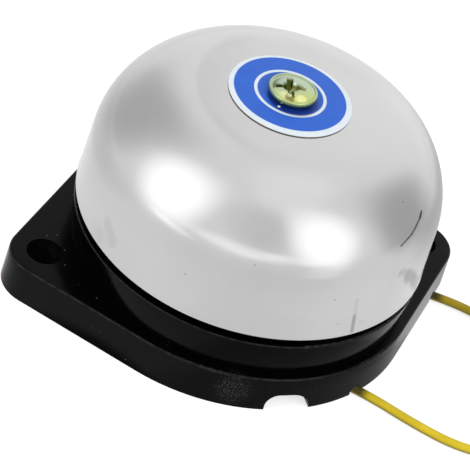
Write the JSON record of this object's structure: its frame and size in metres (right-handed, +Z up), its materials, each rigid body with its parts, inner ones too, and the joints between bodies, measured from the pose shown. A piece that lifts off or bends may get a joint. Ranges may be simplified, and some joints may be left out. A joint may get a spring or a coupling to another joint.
{
  "type": "electric bell",
  "caption": "Small electric gong bell: polished steel dome screwed over a black two-eared base, with a coil and sprung striker inside and two yellow leads.",
  "frame": {"origin": "middle of the base's underside, on the surface that it is screwed to", "axes": "+Z up along the gong's axis, +X to the right ear, -Y to the front with the arched notch"},
  "size_m": [0.0969, 0.072, 0.0385],
  "materials": {
    "black_moulding": "matt moulded phenolic, fine grain, edges rubbed lighter",
    "fibre_board": "vulcanised fibre, dull",
    "polished_gong": "polished and plated steel with faint handling marks",
    "label": "thin plate printed blue with a white ring and border",
    "yellow_zinc": "zinc plate, yellow passivated",
    "plain_zinc": "bright zinc plate",
    "soft_iron": "bare soft iron, lightly oiled",
    "spring_steel": "drawn spring steel",
    "nylon": "natural nylon",
    "enamelled_copper": "enamelled copper wire",
    "coil_tape": "polyester coil tape",
    "brass": "drawn brass tube",
    "rubber": "black rubber",
    "sleeving": "varnished glass sleeving",
    "coil_wire": "thin insulated wire",
    "lead_plastic": "soft yellow PVC insulation",
    "tie_plastic": "white nylon strap",
    "tinned_copper": "tinned stranded copper"
  },
  "bodies": {
    "bell": {"base": "black_moulding", "underside_cover": "fibre_board", "cover_screws": "plain_zinc", "gong": "polished_gong", "gong_washer": "fibre_board", "label_plate": "label", "gong_screw": "yellow_zinc", "frame_yoke": "soft_iron", "frame_bridge": "soft_iron", "frame_screws": "plain_zinc", "frame_washers": "spring_steel", "bobbin": "nylon", "coil_winding": "enamelled_copper", "coil_tape": "coil_tape", "guide_tube": "brass", "pole_piece": "soft_iron", "buffer_washer": "rubber", "buffer_spring": "spring_steel", "return_spring": "spring_steel", "joint_sleeve_1": "sleeving", "joint_sleeve_2": "sleeving", "coil_wire_1": "coil_wire", "coil_wire_2": "coil_wire", "lead_1": "lead_plastic", "lead_1_coil": "lead_plastic", "lead_1_tie": "tie_plastic", "lead_1_end": "tinned_copper", "lead_2": "lead_plastic", "lead_2_coil": "lead_plastic", "lead_2_tie": "tie_plastic", "lead_2_end": "tinned_copper"},
    "striker": {"plunger": "soft_iron", "tail_rod": "plain_zinc", "tail_washer": "plain_zinc", "tail_clip": "spring_steel", "striker_tip": "nylon"}
  },
  "joints": [
    {"name": "striker_slide", "type": "slide", "parent": "bell", "child": "striker", "axis": [1, 0, 0], "range_m": [-0.002, 0.001], "stiffness_N_per_m": 250, "deforming": ["buffer_spring", "return_spring"]}
  ]
}
